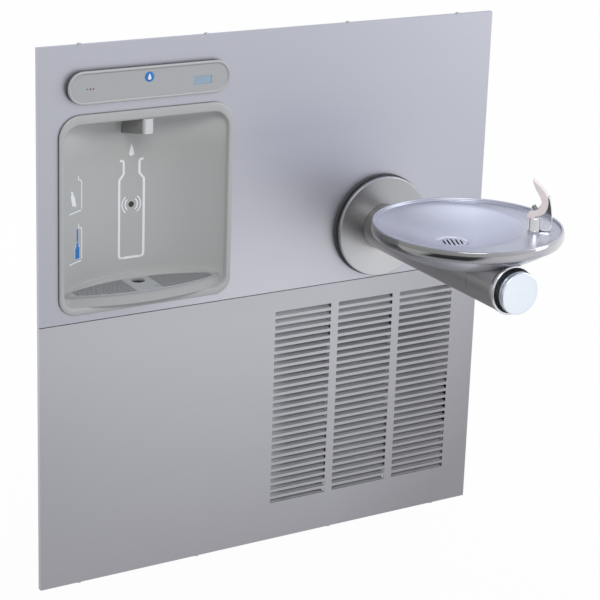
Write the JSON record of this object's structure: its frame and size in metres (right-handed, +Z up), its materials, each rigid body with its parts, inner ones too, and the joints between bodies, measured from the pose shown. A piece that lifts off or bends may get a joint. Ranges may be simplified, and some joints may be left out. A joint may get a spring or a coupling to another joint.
{
  "type": "in-wall drinking fountain with bottle filling station",
  "caption": "Two flat steel panels on an in-wall frame, a recessed bottle alcove with spout, drip tray and display, louvres, and a round basin on a tubular arm with an end push button.",
  "frame": {"origin": "centre of the rectangle of wall fixing holes, on the finished wall surface", "axes": "+Y into the wall along the fixing screws, +Z up, +X to the right as the viewer faces the wall"},
  "size_m": [0.96, 0.6755, 1.037],
  "materials": {
    "panel_steel": "brushed stainless sheet, horizontal grain, satin",
    "zinc_steel": "zinc plated steel fasteners",
    "frame_steel": "galvanised sheet, dull",
    "grey_plastic": "warm grey moulded plastic, fine satin",
    "dark_plastic": "warm grey moulded plastic in the shade of the alcove",
    "grille_plastic": "darker grey moulded plastic, wet-look satin",
    "face_plastic": "printed film on plastic, satin",
    "lcd_glass": "pale blue display window",
    "lamp_plastic": "tinted indicator lenses",
    "board": "solder-masked circuit board",
    "chrome": "bright polished chrome",
    "dark_chrome": "polished nozzle in shade",
    "white_plastic": "translucent white tube and fittings",
    "pipe_plastic": "grey drain pipe",
    "black_gloss": "glossy infrared lens",
    "black_plastic": "black moulded plastic",
    "brushed_steel": "brushed stainless steel, grain round the tube",
    "ring_rubber": "dark rubber",
    "basin_steel": "brushed stainless basin with a polished rim",
    "brass": "machined brass",
    "spring_steel": "drawn spring wire",
    "guard_rubber": "soft pinkish grey elastomer",
    "copper": "bare copper tube",
    "blue_plastic": "blue moulded plastic",
    "black_paint": "black enamel",
    "fin_aluminium": "mill finish fins",
    "foam_plastic": "insulation jacket"
  },
  "bodies": {
    "unit": {"upper_panel": "panel_steel", "lower_panel": "panel_steel", "panel_screws": "zinc_steel", "wall_frame": "frame_steel", "cross_rails": "frame_steel", "arm_carrier": "frame_steel", "alcove_liner": "grey_plastic", "liner_nuts": "zinc_steel", "spout_cowl": "dark_plastic", "spout_nozzle": "chrome", "filler_tube": "white_plastic", "drip_basin": "grey_plastic", "tray_drain_tube": "pipe_plastic", "sensor_lens": "black_gloss", "sensor_housing": "black_plastic", "display_bezel": "grey_plastic", "display_face": "face_plastic", "lcd_window": "lcd_glass", "status_leds": "lamp_plastic", "control_board": "board", "solenoid_valve": "white_plastic", "solenoid_coil": "black_plastic", "escutcheon": "brushed_steel", "escutcheon_ring": "ring_rubber", "arm_tube": "brushed_steel", "arm_sleeve": "brushed_steel", "arm_flange": "frame_steel", "arm_bolts": "zinc_steel", "button_collar": "chrome", "button_spring": "spring_steel", "push_valve": "brass", "basin": "basin_steel", "basin_shroud": "basin_steel", "strainer": "basin_steel", "drain_body": "basin_steel", "waste_tube": "pipe_plastic", "waste_trap": "pipe_plastic", "bubbler_body": "chrome", "bubbler_nozzle": "dark_chrome", "bubbler_guard": "guard_rubber", "bubbler_nut": "brass", "supply_tube": "copper", "water_lines": "white_plastic", "filter_head": "blue_plastic", "stop_valve": "brass", "chiller_base": "frame_steel", "compressor": "black_paint", "compressor_feet": "ring_rubber", "condenser": "fin_aluminium", "fan_shroud": "frame_steel", "fan_motor": "black_paint", "cooling_tank": "foam_plastic", "refrigerant_tubes": "copper", "power_box": "black_plastic"},
    "button": {"push_button": "chrome", "button_stem": "brass"},
    "grille": {"drip_grille": "grille_plastic"},
    "cartridge": {"filter_cartridge": "white_plastic"},
    "valve_handle": {"stop_valve_handle": "blue_plastic"},
    "fan": {"fan_blades": "black_plastic"}
  },
  "joints": [
    {"name": "button_press", "type": "slide", "parent": "unit", "child": "button", "axis": [0, 1, 0], "range_m": [0, 0.005], "stiffness_N_per_m": 1200, "springref_m": -0.004, "deforming": ["button_spring"]},
    {"name": "grille_lift", "type": "slide", "parent": "unit", "child": "grille", "axis": [0, 0, 1], "range_m": [0, 0.03]},
    {"name": "cartridge_turn", "type": "hinge", "parent": "unit", "child": "cartridge", "pos_m": [0, 0.1, 0.34], "axis": [0, 0, 1], "range_deg": [0, 85]},
    {"name": "stop_turn", "type": "hinge", "parent": "unit", "child": "valve_handle", "pos_m": [0.062, 0.08, 0.06], "axis": [0, 1, 0], "range_deg": [0, 90]},
    {"name": "fan_spin", "type": "hinge", "parent": "unit", "child": "fan", "pos_m": [0.215, 0.08, -0.238], "axis": [0, 1, 0], "continuous": true}
  ]
}
